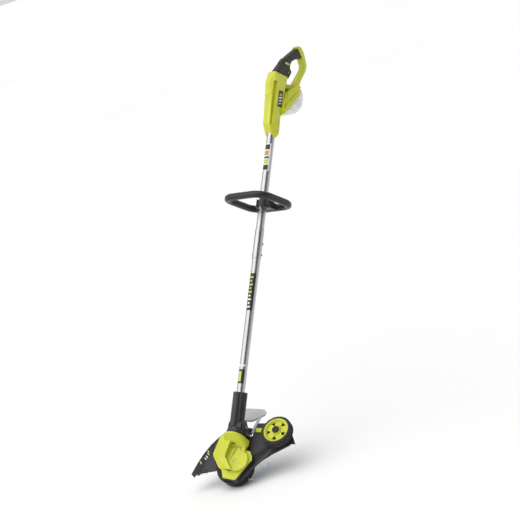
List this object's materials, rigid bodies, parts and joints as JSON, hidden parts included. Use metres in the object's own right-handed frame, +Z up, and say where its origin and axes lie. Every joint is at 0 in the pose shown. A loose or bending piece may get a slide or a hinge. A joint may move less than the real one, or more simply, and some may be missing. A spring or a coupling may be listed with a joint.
{
  "type": "lawn edger",
  "caption": "Battery string lawn edger: handle housing with pack and trigger, long tube, loop handle, tilting motor head with guard, edge wheel, foot pedal and string spool.",
  "frame": {"origin": "on the ground, under the middle of the whole tool's box", "axes": "+Z up with the shaft leaning 35 degrees back, +Y back towards the user, +X to the user's left, the wheel's side"},
  "size_m": [0.2918, 0.9011, 1.1228],
  "materials": {
    "lime": "satin moulded plastic, yellow-green",
    "black": "fine textured moulded plastic",
    "black_gloss": "smooth badge plate",
    "neck_black": "satin glass-filled plastic",
    "loop_black": "smooth satin moulding",
    "guard_black": "spark-textured moulding",
    "grip_rubber": "over-moulded soft grip",
    "tyre": "matt treaded rubber",
    "tube": "bright anodised tube",
    "steel": "turned steel",
    "screw_steel": "plated screw",
    "pedal_grey": "light grey moulding",
    "frost": "pale frosted pack",
    "nylon": "extruded nylon string",
    "cable": "flexible sheath"
  },
  "bodies": {
    "handle": {"housing_left": "lime", "housing_right": "lime", "grip_sleeve": "grip_rubber", "badge_plate": "black_gloss", "trigger_pin": "steel", "switch_body": "black", "dock_terminals": "black", "housing_screw_1": "screw_steel", "housing_screw_2": "screw_steel", "housing_screw_3": "screw_steel", "housing_screw_4": "screw_steel", "lower_shaft": "tube", "upper_shaft": "tube", "coupling_sleeve": "tube", "coupling_screw_1": "screw_steel", "coupling_screw_2": "screw_steel", "locating_button": "steel", "power_cable": "cable"},
    "trigger": {"trigger": "black"},
    "lock_off": {"lock_off_button": "lime"},
    "battery": {"battery_case": "frost"},
    "latch_left": {"battery_latch_left": "frost"},
    "latch_right": {"battery_latch_right": "frost"},
    "loop": {"loop_handle": "loop_black"},
    "knob": {"clamp_knob": "black"},
    "neck": {"neck_half_near": "neck_black", "neck_half_far": "neck_black", "neck_plug": "neck_black"},
    "head": {"head_collar": "neck_black", "hinge_pin": "steel", "motor_cover": "lime", "motor_base": "neck_black", "motor_can": "steel", "motor_bearing": "steel", "guard": "guard_black", "guard_screw_1": "screw_steel", "guard_screw_2": "screw_steel", "guard_screw_3": "screw_steel", "line_cutter": "steel", "cutter_screw": "screw_steel", "wheel_axle": "steel", "wheel_cap": "black", "pedal_pin": "steel"},
    "pedal": {"foot_pedal": "pedal_grey"},
    "release": {"release_button": "lime"},
    "wheel": {"wheel_hub": "lime", "wheel_tyre": "tyre"},
    "rotor": {"rotor_shaft": "steel", "spool_cup": "guard_black", "cutting_line": "nylon"},
    "bump": {"line_spool": "lime", "bump_knob": "black"}
  },
  "joints": [
    {"name": "trigger_squeeze", "type": "hinge", "parent": "handle", "child": "trigger", "pos_m": [-0.024, 0.33839, 1.05406], "axis": [1, 0, 0], "range_deg": [0, 8], "stiffness_Nm_per_rad": 0.5},
    {"name": "lock_off_push", "type": "slide", "parent": "handle", "child": "lock_off", "axis": [-1, 0, 0], "range_m": [0, 0.003]},
    {"name": "battery_slide", "type": "slide", "parent": "handle", "child": "battery", "axis": [0, 0.9394, 0.3428], "range_m": [0, 0.12]},
    {"name": "latch_left_press", "type": "slide", "parent": "battery", "child": "latch_left", "axis": [-1, 0, 0], "range_m": [0, 0.002], "stiffness_N_per_m": 500},
    {"name": "latch_right_press", "type": "slide", "parent": "battery", "child": "latch_right", "axis": [1, 0, 0], "range_m": [0, 0.002]},
    {"name": "loop_height", "type": "slide", "parent": "handle", "child": "loop", "axis": [0, 0.5736, 0.8192], "range_m": [-0.05, 0.15]},
    {"name": "clamp_knob_turn", "type": "hinge", "parent": "loop", "child": "knob", "pos_m": [0.006, 0.07136, 0.71977], "axis": [1, 0, 0], "continuous": true},
    {"name": "head_swivel", "type": "hinge", "parent": "handle", "child": "neck", "pos_m": [-0.024, -0.29458, 0.19715], "axis": [0, 0.5736, 0.8192], "range_deg": [-15, 75]},
    {"name": "head_tilt", "type": "hinge", "parent": "neck", "child": "head", "pos_m": [-0.02607, -0.31808, 0.15012], "axis": [-0.9659, -0.212, 0.1485], "range_deg": [-22, 14]},
    {"name": "pedal_press", "type": "hinge", "parent": "head", "child": "pedal", "pos_m": [-0.03664, -0.28905, 0.12282], "axis": [-0.9659, -0.212, 0.1485], "range_deg": [0, 15], "stiffness_Nm_per_rad": 2},
    {"name": "release_slide", "type": "slide", "parent": "head", "child": "release", "axis": [0.9659, 0.212, -0.1485], "range_m": [0, 0.004]},
    {"name": "wheel_spin", "type": "hinge", "parent": "head", "child": "wheel", "pos_m": [0.09763, -0.28834, 0.12178], "axis": [0.24, -0.5188, 0.8205], "continuous": true},
    {"name": "rotor_spin", "type": "hinge", "parent": "head", "child": "rotor", "pos_m": [-0.01621, -0.38736, 0.0547], "axis": [0.24, -0.5188, 0.8205], "continuous": true},
    {"name": "bump_press", "type": "slide", "parent": "rotor", "child": "bump", "axis": [0.24, -0.5188, 0.8205], "range_m": [0, 0.003], "stiffness_N_per_m": 500}
  ],
  "couplings": [
    {"joint": "latch_right_press", "follows": "latch_left_press", "ratio": 1}
  ]
}
